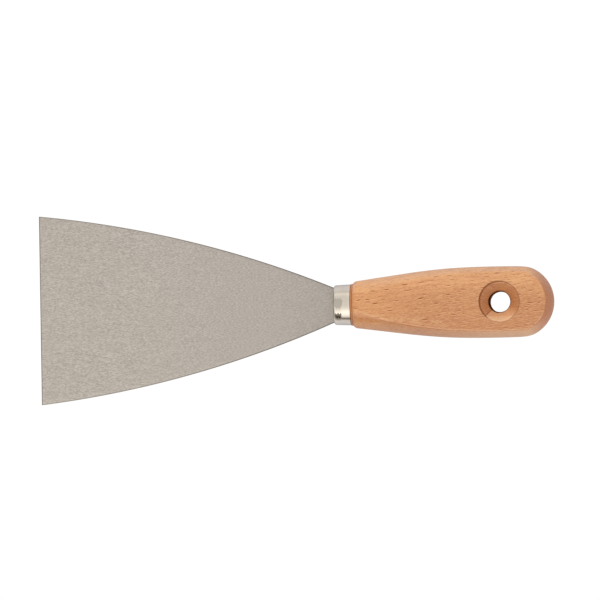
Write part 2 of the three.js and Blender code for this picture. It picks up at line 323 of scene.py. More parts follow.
def build_ferrule(material):
    skin = Surface()
    count = RING_POINTS
    length = FERRULE_LENGTH
    lip = FERRULE_LIP
    slot = (TANG_HALF_WIDTHS[0] + FERRULE_SLOT_GAP, NECK_HALF_THICKNESS + FERRULE_SLOT_GAP)

    def outside(x):
        return FERRULE_FRONT_RADIUS + (FERRULE_REAR_RADIUS - FERRULE_FRONT_RADIUS) * x / length

    rings = [slot_ring(skin, 0.0, *slot, count)]
    for radius in (6.0, 6.6, FERRULE_FRONT_RADIUS - FERRULE_CORNER):
        rings.append(wall_ring(skin, 0.0, radius, count, dented=False))
    for turn in spread(0, math.pi / 2, 10)[1:]:
        x = FERRULE_CORNER * (1 - math.cos(turn))
        radius = FERRULE_FRONT_RADIUS - FERRULE_CORNER * (1 - math.sin(turn))
        rings.append(wall_ring(skin, x, radius, count))
    for x in spread(FERRULE_CORNER, length - lip, 40)[1:]:
        rings.append(wall_ring(skin, x, outside(x), count))
    for turn in spread(0, math.pi / 2, 4)[1:]:
        x = length - lip * (1 - math.sin(turn))
        rings.append(wall_ring(skin, x, outside(x) - lip * (1 - math.cos(turn)), count))
    rings.append(wall_ring(skin, length, outside(length) - SHEET, count))
    for x in reversed(spread(FERRULE_CORNER, length, 24)[:-1]):
        rings.append(wall_ring(skin, x, outside(x) - SHEET, count))
    inner_corner = FERRULE_CORNER - SHEET
    for turn in spread(math.pi / 2, 0, 5)[1:]:
        x = FERRULE_CORNER - inner_corner * math.cos(turn)
        radius = FERRULE_FRONT_RADIUS - FERRULE_CORNER + inner_corner * math.sin(turn)
        rings.append(wall_ring(skin, x, radius, count, dented=False))
    rings.append(slot_ring(skin, SHEET, *slot, count))
    for a, b in zip(rings, rings[1:] + rings[:1]):
        skin.bridge(a, b)
    return skin.piece("ferrule_visual", "ferrule", "plated_ferrule", material, 40)


# ---- handle ----------------------------------------------------------------------------------------------


def belly(x):
    return BELLY_HALF_WIDTH - BELLY_RADIUS + math.sqrt(BELLY_RADIUS**2 - (x - BELLY_X) ** 2)


def taper(x):
    run = BELLY_X - TAPER_END_X
    slope = run / math.sqrt(BELLY_RADIUS**2 - run**2)
    return belly(TAPER_END_X) - slope * (TAPER_END_X - x)


def side_half_width(x):
    """Half-width of the body's long sides, without the rounding of the end."""
    if x > TAPER_END_X:
        return belly(x)
    if x > BODY_X:
        return taper(x)

    def drop(at):
        return SHOULDER_ARC_RADIUS - math.sqrt(max(SHOULDER_ARC_RADIUS**2 - (BODY_X - at) ** 2, 0))

    rise = taper(BODY_X) - SHOULDER_START_RADIUS
    return taper(BODY_X) - rise * drop(x) / drop(SHOULDER_X)


def rounded_min(a, b, blend):
    """The smaller of two lengths, rounded where they cross."""
    near = max(blend - abs(a - b), 0) / blend
    return min(a, b) - near**2 * blend / 4


def inside_outline(x, y):
    """How far a point is inside the body's outline, seen from above."""
    side = side_half_width(x) - abs(y)
    end = END_RADIUS - math.hypot(max(x - END_CENTRE_X, 0), y)
    return rounded_min(side, end, END_BLEND)


def reach(x, y, along_x, along_y):
    """Distance from a point inside the outline to the outline, in a direction."""
    near, far = 0.0, 2 * END_RADIUS
    for _ in range(50):
        middle = (near + far) / 2
        if inside_outline(x + along_x * middle, y + along_y * middle) > 0:
            near = middle
        else:
            far = middle
    return near


def half_width(x):
    """Half-width of the body's outline, from the shoulder to the end."""
    return reach(x, 0, 0, 1)


def crown_radius(x):
    """Radius of the side's crown."""
    if x <= BODY_X:
        return half_width(x)
    left = max(1 - (x - BODY_X) / (CROWN_END_X - BODY_X), 0)
    return SIDE_CROWN_RADIUS + (taper(BODY_X) - SIDE_CROWN_RADIUS) * left**2


def face_height(y):
    return min(HALF_THICKNESS, FACE_APEX - y**2 / (2 * FACE_CROWN_RADIUS))


def height(x, y):
    """Height of the body's surface over its middle plane."""
    radius = crown_radius(x)
    side = math.sqrt(max(radius**2 - (radius - max(inside_outline(x, y), 0)) ** 2, 0))
    return rounded_min(side, face_height(y), RIDGE_BLEND)


def outward(x, y):
    """Direction straight out of the outline, as two components."""
    step = 0.05
    slope_x = inside_outline(x - step, y) - inside_outline(x + step, y)
    slope_y = inside_outline(x, y - step) - inside_outline(x, y + step)
    length = math.hypot(slope_x, slope_y)
    return slope_x / length, slope_y / length


CROWN_STEPS = 18
FACE_SHARES = (0.985, 0.965, 0.94, 0.91, 0.87, 0.82, 0.76, 0.69, 0.61, 0.52, 0.42, 0.32, 0.21, 0.1)
GRID_END_X = 54.0  # the even grid stops here, and rings round the hole take over


def ridge_distance(x):
    """How far inside the outline the side's crown would meet the planed face."""
    radius = crown_radius(x)
    level = min(HALF_THICKNESS - 0.15, radius * 0.995)
    return min(radius - math.sqrt(radius**2 - level**2), half_width(min(x, END_CENTRE_X)) - 0.4)


def crown_distances(x):
    """Distances from the outline at even turns up the crown, from the outline to the ridge."""
    radius = crown_radius(x)
    steepest = math.acos(1 - ridge_distance(x) / radius)
    return [radius * (1 - math.cos(turn)) for turn in spread(0, steepest, CROWN_STEPS)]


def row_widths(x):
    """Signed widths of a row of points from +Y to -Y."""
    half = half_width(x)
    side = [half - d for d in crown_distances(x)]
    flat = side[-1]
    inner = [flat * share for share in FACE_SHARES]
    positive = side + inner
    return positive + [0.0] + [-y for y in reversed(positive)]


def build_handle(material):
    skin = Surface()
    grid_xs = list(spread(BODY_X, 16, 14))[:-1] + list(spread(16, GRID_END_X, 66))
    turns = [math.acos(max(-1, min(1, y / half_width(BODY_X)))) for y in row_widths(BODY_X)]

    def closed(upper, lower):
        """A ring out of an upper row and a lower row that share their end points."""
        return upper + lower[-2:0:-1]

    def both(x, widths, level):
        upper = skin.add([(NECK_X + x, y, level(y)) for y in widths])
        lower = skin.add([(NECK_X + x, y, -level(y)) for y in widths])
        return upper, lower

    def round_row(x, radius, dented=False):
        rows = []
        for side in (1, -1):
            points = []
            for turn in turns:
                y, z = math.cos(turn), side * math.sin(turn)
                inner = radius - (max(dent(x, y, z), 0) * 1.5 if dented else 0)
                points.append((NECK_X + x, y * inner, z * inner))
            rows.append(skin.add(points))
        return rows

    # Tenon, collar, groove and shoulder.
    tenon = FERRULE_REAR_RADIUS - SHEET - TENON_GAP
    tenon_front = FERRULE_FRONT_RADIUS - SHEET - TENON_GAP
    rows = [round_row(TENON_X, tenon_front - 0.5), round_row(TENON_X + 0.5, tenon_front)]
    for x in spread(TENON_X + 0.5, COLLAR_X, 20)[1:]:
        share = (x - TENON_X) / (COLLAR_X - TENON_X)
        rows.append(round_row(x, tenon_front + (tenon - tenon_front) * share, dented=True))
    soft = 0.1
    rows.append(round_row(COLLAR_X, COLLAR_RADIUS - soft))
    rows.append(round_row(COLLAR_X + soft, COLLAR_RADIUS))
    rows.append(round_row(SHOULDER_X - 0.3, COLLAR_RADIUS))
    rows.append(round_row(SHOULDER_X - 0.2, COLLAR_RADIUS - 0.05))
    rows.append(round_row(SHOULDER_X - 0.12, COLLAR_RADIUS - 0.3))
    rows.append(round_row(SHOULDER_X - 0.04, COLLAR_RADIUS - 0.3))
    rows.append(round_row(SHOULDER_X, COLLAR_RADIUS - 0.02))
    for share in spread(0, 1, 12)[:-1]:
        x = SHOULDER_X + (BODY_X - SHOULDER_X) * share**1.5
        widths = [half_width(x) * math.cos(turn) for turn in turns]
        rows.append(both(x, widths, lambda y, x=x: height(x, y)))
    # The body up to the rings round the hole.
    for x in grid_xs:
        rows.append(both(x, row_widths(x), lambda y, x=x: height(x, y)))
    for (upper_a, lower_a), (upper_b, lower_b) in zip(rows, rows[1:]):
        skin.strip(upper_a, upper_b)
        skin.strip(lower_a, lower_b)

    # The slot for the tang, cut into the tenon's front.
    count = 2 * (len(turns) - 1)
    front = closed(*rows[0])
    mouth = slot_ring(skin, TENON_X, *SLOT_HALF, count)
    bottom = slot_ring(skin, SLOT_END_X, *SLOT_HALF, count)
    skin.bridge(front, mouth)
    skin.bridge(mouth, bottom)
    skin.cap(bottom, (NECK_X + SLOT_END_X, 0, 0))

    # The crowned side round the end, as bands that follow the outline.
    last_upper, last_lower = rows[-1]
    straight = [(x, half_width(x), 0.0, 1.0) for x in spread(GRID_END_X, END_CENTRE_X, 28)[1:]]
    arc = []
    for turn in spread(math.pi / 2, -math.pi / 2, 80)[1:-1]:
        c, s = math.cos(turn), math.sin(turn)
        distance = reach(END_CENTRE_X, 0, c, s)
        x, y = END_CENTRE_X + distance * c, distance * s
        arc.append((x, y, *outward(x, y)))
    back = [(x, -y, nx, -ny) for x, y, nx, ny in reversed(straight)]
    outline = straight + arc + back
    sections = []
    for sign, last in ((1, last_upper), (-1, last_lower)):
        bands = []
        for x, y, nx, ny in outline:
            base = min(x, END_CENTRE_X)
            points = []
            for d in crown_distances(base):
                px, py = x - nx * d, y - ny * d
                points.append((NECK_X + px, py, sign * height(px, py)))
            bands.append(skin.add(points))
        first = last[:CROWN_STEPS]
        final = last[: -CROWN_STEPS - 1 : -1]
        chain = [first] + bands + [final]
        for a, b in zip(chain, chain[1:]):
            skin.strip(a, b)
        ridge = [column[-1] for column in chain]
        across = last[CROWN_STEPS - 1 : len(last) - CROWN_STEPS + 1]
        sections.append((sign, ridge + across[-2:0:-1]))

    # The planed faces round the hole, and the hole itself.
    bores = []
    for sign, loop in sections:
        bores.append(build_hole_side(skin, sign, loop))
    skin.bridge(bores[0], bores[1])
    return skin.piece("handle_visual", "handle", "lacquered_beech", material, 38)


def rim_point(turn):
    """Where the countersink's cone meets the planed face, in plan."""
    radius = COUNTERSINK_RADIUS
    for _ in range(6):
        x, y = HOLE_X + radius * math.cos(turn), radius * math.sin(turn)
        radius = COUNTERSINK_RADIUS - (HALF_THICKNESS - height(x, y))
    return radius


def build_hole_side(skin, sign, loop):
    """Rings from a loop on the face to the hole's middle, on one side. Returns the last ring."""
    outer = []
    for number in loop:
        x, y, _ = skin.points[number]
        outer.append((x - NECK_X, y, math.atan2(y, x - NECK_X - HOLE_X)))

    def face_ring(share):
        points = []
        for x, y, turn in outer:
            radius = rim_point(turn) + RIM_LIP
            rx, ry = HOLE_X + radius * math.cos(turn), radius * math.sin(turn)
            px, py = rx + (x - rx) * share, ry + (y - ry) * share
            points.append((NECK_X + px, py, sign * height(px, py)))
        return skin.add(points)

    def cut_ring(radius_of, depth_of):
        points = []
        for _, _, turn in outer:
            radius = radius_of(rim_point(turn))
            x, y = HOLE_X + radius * math.cos(turn), radius * math.sin(turn)
            points.append((NECK_X + x, y, sign * depth_of(radius, height(x, y))))
        return skin.add(points)

    rings = [loop]
    for share in (0.985, 0.96, 0.92, 0.86, 0.78, 0.68, 0.56, 0.43, 0.3, 0.18, 0.08, 0):
        rings.append(face_ring(share))
    # A fine burr stands up at the rim, where the cutter plunged in.
    rings.append(cut_ring(lambda r: r + 0.2, lambda r, h: h))
    rings.append(cut_ring(lambda r: r + 0.08, lambda r, h: h - 0.01))
    rings.append(cut_ring(lambda r: r, lambda r, h: h - 0.07))
    cone_foot = HALF_THICKNESS - (COUNTERSINK_RADIUS - HOLE_RADIUS)
    soft = BORE_ROUNDING

    def cone(radius, _):
        return cone_foot + radius - HOLE_RADIUS

    for share in (0.03, 0.15, 0.3, 0.45, 0.6, 0.75, 0.88, 1.0):
        rings.append(cut_ring(lambda r, s=share: r + (HOLE_RADIUS + soft - r) * s, cone))
    for turn in spread(0, 1, 6)[1:]:
        # A quadratic curve from the cone to the bore, tangent to both.
        radius = HOLE_RADIUS + soft * (1 - turn) ** 2
        level = cone_foot + soft * (1 - turn) ** 2 - soft * turn**2
        rings.append(cut_ring(lambda _, r=radius: r, lambda _r, _h, z=level: z))
    for level in (3.5, 1.8):
        rings.append(cut_ring(lambda _: HOLE_RADIUS, lambda _r, _h, z=level: z))
    for a, b in zip(rings, rings[1:]):
        skin.bridge(a, b)
    return rings[-1]


# ---- materials -------------------------------------------------------------------------------------------


def linear(red, green, blue):
    """A colour given in 0 to 255 screen values, as linear light with alpha."""
    out = []
    for value in (red, green, blue):
        v = value / 255
        out.append(v / 12.92 if v <= 0.04045 else ((v + 0.055) / 1.055) ** 2.4)
    return (*out, 1.0)


class Shader:
    """Builds a node tree with short calls. Inputs are values or the outputs of other nodes."""

    def __init__(self, tree):
        self.tree = tree
        tree.nodes.clear()

    def node(self, kind, inputs=None, **settings):
        node = self.tree.nodes.new(kind)
        for key, value in settings.items():
            setattr(node, key, value)
        for key, value in (inputs or {}).items():
            socket = node.inputs[key]
            if isinstance(value, bpy.types.NodeSocket):
                self.tree.links.new(value, socket)
            else:
                socket.default_value = value
        return node

    def math(self, operation, a, b=0.0, c=0.0):
        inputs = {0: a, 1: b, 2: c}
        return self.node("ShaderNodeMath", inputs, operation=operation).outputs[0]

    def vector_math(self, operation, a, b=(0, 0, 0)):
        return self.node("ShaderNodeVectorMath", {0: a, 1: b}, operation=operation).outputs[0]

    def ramp(self, value, low, high, out_low=0.0, out_high=1.0):
        """A smooth step from low to high."""
        inputs = {"Value": value, "From Min": low, "From Max": high, "To Min": out_low, "To Max": out_high}
        return self.node("ShaderNodeMapRange", inputs, interpolation_type="SMOOTHSTEP").outputs[0]

    def mix(self, share, a, b, blend="MIX"):
        """Mixes two colours."""
        node = self.node("ShaderNodeMix", data_type="RGBA", blend_type=blend)
        for index, value in ((0, share), (6, a), (7, b)):
            if isinstance(value, bpy.types.NodeSocket):
                self.tree.links.new(value, node.inputs[index])
            else:
                node.inputs[index].default_value = value
        return node.outputs[2]

    def noise(self, vector, scale=1.0, detail=2.0, roughness=0.5):
        inputs = {"Vector": vector, "Scale": scale, "Detail": detail, "Roughness": roughness}
        return self.node("ShaderNodeTexNoise", inputs).outputs[0]

    def place(self, shift=(0, 0, 0), turn_z=0.0):
        """Object coordinates in millimetres, shifted and turned about Z."""
        coordinates = self.node("ShaderNodeTexCoord").outputs["Object"]
        scaled = self.vector_math("SCALE", coordinates)
        scaled.node.inputs["Scale"].default_value = 1 / MM
        moved = self.vector_math("ADD", scaled, shift)
        inputs = {"Vector": moved, "Angle": turn_z}
        return self.node("ShaderNodeVectorRotate", inputs, rotation_type="Z_AXIS").outputs[0]

    def stretch(self, vector, x, y, z):
        return self.vector_math("MULTIPLY", vector, (x, y, z))

    def normal(self):
        return self.node("ShaderNodeNewGeometry").outputs["Normal"]

    def bump(self, height, strength, depth):
        """A bump normal from a height of 0 to 1 that stands for a depth in millimetres."""
        inputs = {"Strength": strength, "Distance": depth * MM, "Height": height}
        return self.node("ShaderNodeBump", inputs).outputs[0]

    def split(self, vector):
        return self.node("ShaderNodeSeparateXYZ", {0: vector}).outputs


def new_material(name):
    material = bpy.data.materials.new(name)
    material.use_nodes = True
    return material, Shader(material.node_tree)


def finish_material(shader, inputs):
    surface = shader.node("ShaderNodeBsdfPrincipled", inputs).outputs[0]
    shader.node("ShaderNodeOutputMaterial", {"Surface": surface})


def steel_material():
    """Ground spring steel: a satin grain along the blade, with faint blotches, flecks and fine scratches."""
    material, s = new_material("ground_steel")
    at = s.place()
    x, y, _ = s.split(at)
    fine = s.noise(s.stretch(at, 1.0, 3.8, 3.8), detail=3.0, roughness=0.7)
    coarse = s.noise(s.stretch(at, 0.14, 1.1, 1.1), detail=2.0)
    cloud = s.noise(s.stretch(at, 0.03, 0.05, 0.05), detail=2.0)
    grain = s.math("ADD", s.math("MULTIPLY", fine, 0.92), s.math("MULTIPLY", coarse, 0.08))
    base = s.mix(s.ramp(grain, 0.32, 0.68), linear(174, 165, 155), linear(221, 212, 201))
    base = s.mix(s.ramp(cloud, 0.35, 0.7, 0, 0.12), base, linear(206, 195, 182))
    speckle = s.noise(s.stretch(at, 1.5, 2.2, 2.2), detail=2.0, roughness=0.7)
    base = s.mix(s.ramp(speckle, 0.52, 0.68, 0, 0.2), base, linear(194, 172, 160))
    base = s.mix(s.ramp(speckle, 0.48, 0.32, 0, 0.17), base, linear(186, 184, 164))
    # Painted shade: slightly cooler and darker towards the neck.
    base = s.mix(s.ramp(x, 20, NECK_X, 0, 0.25), base, linear(178, 171, 166))
    # Small stains.
    cells = s.node("ShaderNodeTexVoronoi", {"Vector": s.stretch(at, 0.11, 0.17, 0.17), "Scale": 1.0})
    spot = s.ramp(cells.outputs["Distance"], 0.035, 0.015)
    base = s.mix(s.math("MULTIPLY", spot, 0.55), base, linear(120, 108, 96))
    # The long edges are broken by hand. Painted shade darkens them, the working edge and the sides near the
    # neck.
    rim = s.math("SUBTRACT", 1.0, s.ramp(s.math("ABSOLUTE", s.split(s.normal())[2]), 0.6, 0.97))
    centre = blade_side_centre()
    mirrored = s.node("ShaderNodeCombineXYZ", {"X": x, "Y": s.math("ABSOLUTE", y)}).outputs[0]
    from_centre = s.vector_math("SUBTRACT", mirrored, (*centre, 0))
    out = s.node("ShaderNodeVectorMath", {0: from_centre}, operation="LENGTH").outputs["Value"]
    from_side = s.math("SUBTRACT", BLADE_SIDE_RADIUS, out)
    dull = s.math("MULTIPLY", s.ramp(x, 88, NECK_X, 0, 0.22), s.ramp(from_side, 5.5, 1.0, 0.55, 1))
    base = s.mix(dull, base, linear(150, 142, 134))
    near_side = s.math("MULTIPLY", s.ramp(from_side, 0.55, 0.1), s.ramp(x, 20, 110, 0.55, 0.95))
    near_side = s.math("MULTIPLY", near_side, s.math("LESS_THAN", x, NECK_X))
    outline = s.math("MAXIMUM", near_side, s.ramp(x, 0.5, 0.1, 0, 0.85))
    outline = s.math("MAXIMUM", outline, s.math("MULTIPLY", rim, 0.5))
    base = s.mix(outline, base, linear(112, 102, 94))
    rough = s.ramp(grain, 0.25, 0.75, 0.36, 0.46)
    bump = s.bump(grain, 0.25, 0.02)
    finish_material(s, {"Base Color": base, "Metallic": 1.0, "Roughness": rough, "Normal": bump})
    return material


def nickel_material():
    """Drawn steel with warm nickel plating: bright, with faint marks round it and scuffed punch marks."""
    material, s = new_material("plated_ferrule")
    at = s.place(shift=(-NECK_X, 0, 0))
    x, y, _ = s.split(at)
    rings = s.noise(s.stretch(at, 5.0, 0.15, 0.15), detail=3.0)
    haze = s.noise(at, scale=0.35, detail=2.0)
    base = s.mix(s.ramp(haze, 0.3, 0.7), linear(228, 216, 200), linear(235, 223, 207))
    ragged = s.math("MULTIPLY_ADD", s.noise(at, scale=1.1, detail=2.0), 0.7, -0.35)

    jagged = s.math("MULTIPLY_ADD", s.math("COSINE", s.math("MULTIPLY_ADD", x, 6.0, -12.3)), -0.3, y)

    def patch(mid_x, half_x, mid_y, half_y):
        """0 in the middle of a tapering patch, 1 on its ragged outline."""
        narrower = s.math("MULTIPLY_ADD", y, -0.12, 1 + 0.12 * mid_y)
        u = s.math("MULTIPLY", s.math("MULTIPLY", s.math("ADD", x, -mid_x), narrower), 1 / half_x)
        v = s.math("MULTIPLY", s.math("ADD", jagged, -mid_y), 1 / half_y)
        u_power = s.math("POWER", s.math("ABSOLUTE", u), 3.0)
        v_power = s.math("POWER", s.math("ABSOLUTE", v), 3.0)
        powers = s.math("ADD", u_power, v_power)
        return s.math("ADD", powers, ragged)

    scuffed = s.ramp(patch(2.05, 1.75, 0.4, 2.05), 1.15, 0.65)
    base = s.mix(scuffed, base, linear(200, 191, 176))
    # Painted shade: a dark patch in the crease beside the punch mark.
    crease = s.ramp(patch(2.05, 1.3, -4.35, 0.95), 1.3, 0.4, 0, 0.85)
    base = s.mix(crease, base, linear(84, 78, 64))
    rough = s.mix(scuffed, (0.11, 0.11, 0.11, 1), (0.3, 0.3, 0.3, 1))
    bump = s.bump(rings, 0.12, 0.03)
    finish_material(s, {"Base Color": base, "Metallic": 1.0, "Roughness": rough, "Normal": bump})
    return material


def line_at(s, value, middle, half_width):
    """1 where a value is at the middle, falling to 0 on both sides."""
    off = s.math("ABSOLUTE", s.math("SUBTRACT", value, middle))
    return s.ramp(off, half_width, 0.0)


def dashes(s, x, across, length, width, shift, radius_low, radius_high, keep):
    """Short lens-shaped rays along X in some cells of a stretched pattern, with painted highlights beside
    them.
    """

    def marks(nudge):
        u = s.math("MULTIPLY_ADD", x, 1 / length, shift)
        v = s.math("MULTIPLY_ADD", across, 1 / width, shift + nudge / width)
        cells = s.node("ShaderNodeCombineXYZ", {"X": u, "Y": v}).outputs[0]
        inputs = {"Vector": cells, "Scale": 1.0, "Randomness": 0.95}
        voronoi = s.node("ShaderNodeTexVoronoi", inputs, voronoi_dimensions="2D")
        random = s.split(voronoi.outputs["Color"])
        radius = s.math("MULTIPLY_ADD", random[0], radius_high - radius_low, radius_low)
        mark = s.ramp(s.math("SUBTRACT", radius, voronoi.outputs["Distance"]), 0.0, 0.09)
        depth = s.math("MULTIPLY_ADD", random[2], 0.6, 0.4)
        return s.math("MULTIPLY", s.math("MULTIPLY", mark, depth), s.math("LESS_THAN", random[1], keep))

    dark = marks(0.0)
    # Painted highlight: a light line just beside each ray.
    light = s.math("MULTIPLY", marks(0.26), s.math("SUBTRACT", 1.0, dark))
    return dark, light


WEDGE_BEARING = -2.36  # radians round the hole, where the light wedge in the cone begins


def beech_material():
    """Planed beech under clear satin lacquer."""
    material, s = new_material("lacquered_beech")
    at = s.place(shift=(-NECK_X, 0, 0), turn_z=math.radians(-5))
    straight = s.place(shift=(-NECK_X, 0, 0))
    x, y, z = s.split(straight)
    wander = s.noise(s.stretch(at, 0.03, 0.08, 0.08), detail=1.0)
    warp = s.node("ShaderNodeCombineXYZ", {"Y": s.math("MULTIPLY_ADD", wander, 5.0, -2.5)}).outputs[0]
    grain = s.vector_math("ADD", at, warp)

    # Broad bands, fibres and fine pores. Painted light: the wood is lighter towards +Y, which faces the key
    # light, and towards the ferrule. It is also darker on the -Y half round the hole.
    bands = s.noise(s.stretch(grain, 0.012, 0.16, 0.16), detail=2.0)
    fibres = s.noise(s.stretch(grain, 0.075, 1.05, 1.05), detail=3.0, roughness=0.62)
    hairs = s.noise(s.stretch(grain, 0.5, 3.4, 3.4), detail=2.0, roughness=0.7)
    pebbles = s.noise(s.stretch(grain, 1.2, 2.2, 2.2), detail=2.0, roughness=0.7)
    base = s.mix(s.ramp(bands, 0.36, 0.66), linear(192, 129, 76), linear(178, 112, 61))
    base = s.mix(s.ramp(y, 0, 10, 0, 0.85), base, linear(224, 163, 107))
    base = s.mix(s.ramp(x, 38, 8, 0, 0.5), base, linear(224, 158, 92))
    base = s.mix(s.math("MULTIPLY", s.ramp(x, 50, 74), s.ramp(y, 4, -2, 0, 0.4)), base, linear(174, 110, 60))
    base = s.mix(s.ramp(fibres, 0.35, 0.72, 0, 0.5), base, linear(172, 101, 46))
    # Painted sheen: pale streaks where the front of the face rolls off towards -Y.
    cloudy = s.ramp(s.noise(s.stretch(straight, 0.2, 0.4, 0.4), detail=3.0, roughness=0.7), 0.38, 0.58)
    middle = s.math("MULTIPLY_ADD", x, -0.09, -4.1)
    sheen_streak = s.math("MULTIPLY", line_at(s, s.math("SUBTRACT", y, middle), 0.0, 2.6), s.ramp(x, 13, 19))
    sheen_streak = s.math("MULTIPLY", s.math("MULTIPLY", sheen_streak, s.ramp(x, 62, 34)), cloudy)
    base = s.mix(s.math("MULTIPLY", sheen_streak, 0.38), base, linear(226, 178, 126))
    base = s.mix(s.ramp(hairs, 0.38, 0.7, 0, 0.6), base, linear(222, 165, 112))
    base = s.mix(s.ramp(pebbles, 0.48, 0.7, 0, 0.5), base, linear(160, 88, 36))

    to_hole = s.node("ShaderNodeCombineXYZ", {"X": s.math("SUBTRACT", x, HOLE_X), "Y": y}).outputs[0]
    away = s.node("ShaderNodeVectorMath", {0: to_hole}, operation="LENGTH").outputs["Value"]

    # Rays, laid out on a coordinate that runs across the face and on down the sides.
    gy = s.split(grain)[1]
    down = s.math("MULTIPLY", s.math("SUBTRACT", HALF_THICKNESS, s.math("ABSOLUTE", z)), 0.9)
    across = s.math("MULTIPLY_ADD", s.math("SIGN", y), down, gy)
    across = s.math("MULTIPLY_ADD", s.math("SIGN", z), 40.0, across)
    along = s.split(at)[0]
    long_dark, long_highlight = dashes(s, along, across, 6.2, 1.2, 3.1, 0.15, 0.25, 0.6)
    short_dark, short_highlight = dashes(s, along, across, 4.6, 1.0, 11.4, 0.12, 0.22, 0.5)
    inside = s.ramp(away, COUNTERSINK_RADIUS + 0.02, COUNTERSINK_RADIUS - 0.1, 1, 0.15)
    rear_dark, rear_highlight = dashes(s, along, across, 5.6, 1.3, 7.7, 0.14, 0.25, 0.6)
    near_end = s.math("MULTIPLY", s.ramp(x, 52, 62), inside)
    base = s.mix(s.math("MULTIPLY", short_dark, 0.55), base, linear(152, 78, 34))
    base = s.mix(s.math("MULTIPLY", long_dark, inside), base, linear(146, 74, 30))
    base = s.mix(s.math("MULTIPLY", rear_dark, near_end), base, linear(156, 82, 40))
    front_pores = s.math("MULTIPLY", long_dark, inside)
    open_pores = s.math("MAXIMUM", front_pores, s.math("MULTIPLY", rear_dark, near_end))
    # Painted highlights beside the rays.
    ray_highlights = s.math("MULTIPLY", s.math("MAXIMUM", long_highlight, short_highlight), inside)
    ray_highlights = s.math("MAXIMUM", ray_highlights, s.math("MULTIPLY", rear_highlight, near_end))
    base = s.mix(s.math("MULTIPLY", ray_highlights, 0.55), base, linear(238, 186, 136))

    # Painted sheen and shade on the rolled edge of the face towards -Y: a pale band along it, darker brown
    # below it, and the sides paler where they face steeply -Y or +Y.
    lean = s.split(s.normal())[1]
    outside = s.ramp(away, COUNTERSINK_RADIUS, COUNTERSINK_RADIUS + 0.1)
    lean = s.math("MULTIPLY", lean, outside)
    ridge_sheen = s.math("MULTIPLY", line_at(s, lean, -0.31, 0.15), s.ramp(x, 20, 45, 0.1, 0.6))
    upright = s.math("ABSOLUTE", s.split(s.normal())[2])
    ridge_sheen = s.math("MULTIPLY", ridge_sheen, s.ramp(upright, 0.6, 0.9))
    base = s.mix(ridge_sheen, base, linear(234, 190, 148))
    ridge_shade = s.math("MULTIPLY", line_at(s, lean, -0.55, 0.22), s.ramp(x, 76, 30))
    base = s.mix(s.math("MULTIPLY", ridge_shade, 0.45), base, linear(172, 100, 46))
    side_sheen = s.math("MULTIPLY", s.ramp(lean, -0.45, -0.75), s.ramp(x, 26, 76, 0, 0.45))
    side_sheen = s.math("ADD", side_sheen, s.ramp(lean, 0.3, 0.7, 0, 0.14))
    base = s.mix(side_sheen, base, linear(230, 186, 140))

    # End grain and the cut walls of the hole take the lacquer darker and redder.
    rear = s.ramp(x, BELLY_X, END_CENTRE_X)
    endwise = s.math("MULTIPLY", s.ramp(s.split(s.normal())[0], 0.25, 0.75), rear)
    in_hole = s.ramp(away, COUNTERSINK_RADIUS + 0.02, COUNTERSINK_RADIUS - 0.1)
    pores = s.noise(s.stretch(straight, 0.6, 3.0, 3.0), detail=2.0)
    dark = s.mix(s.ramp(pores, 0.35, 0.65), linear(166, 98, 60), linear(198, 128, 86))
    base = s.mix(s.math("MULTIPLY", endwise, 0.75), base, dark)
    base = s.mix(s.math("MULTIPLY", in_hole, 0.4), base, dark)
    # The cone cuts across the growth rings. Its -Y wall, which faces the key light, is painted lighter in a
    # wedge, with a paler band near the rim and a dark line along the wedge's edge.
    hx, hy, _ = s.split(to_hole)
    bearing = s.math("ARCTAN2", hy, hx)
    rows = s.noise(s.stretch(straight, 0.5, 3.0, 0.1), detail=2.0)
    ripple = s.math("MULTIPLY_ADD", rows, 0.8, -0.4)
    streaks = s.math("MULTIPLY", in_hole, s.ramp(rows, 0.48, 0.66, 0, 0.35))
    base = s.mix(streaks, base, linear(150, 84, 46))
    opening = s.ramp(bearing, WEDGE_BEARING, WEDGE_BEARING + 0.06)
    wedge = s.math("MULTIPLY", opening, s.ramp(bearing, -0.2, -1.0))
    wedge = s.math("MULTIPLY", wedge, in_hole)
    base = s.mix(s.math("MULTIPLY", wedge, 0.55), base, linear(234, 178, 132))
    ring = s.math("MULTIPLY", wedge, s.ramp(s.math("ADD", hy, ripple), -5.6, -6.1))
    ring = s.math("MULTIPLY", ring, s.ramp(pores, 0.35, 0.6, 0.5, 1.1))
    base = s.mix(s.math("MULTIPLY", ring, 0.42), base, linear(238, 198, 152))
    wedge_edge_line = s.math("MULTIPLY", line_at(s, bearing, WEDGE_BEARING, 0.07), in_hole)
    base = s.mix(s.math("MULTIPLY", wedge_edge_line, 0.6), base, linear(120, 54, 34))
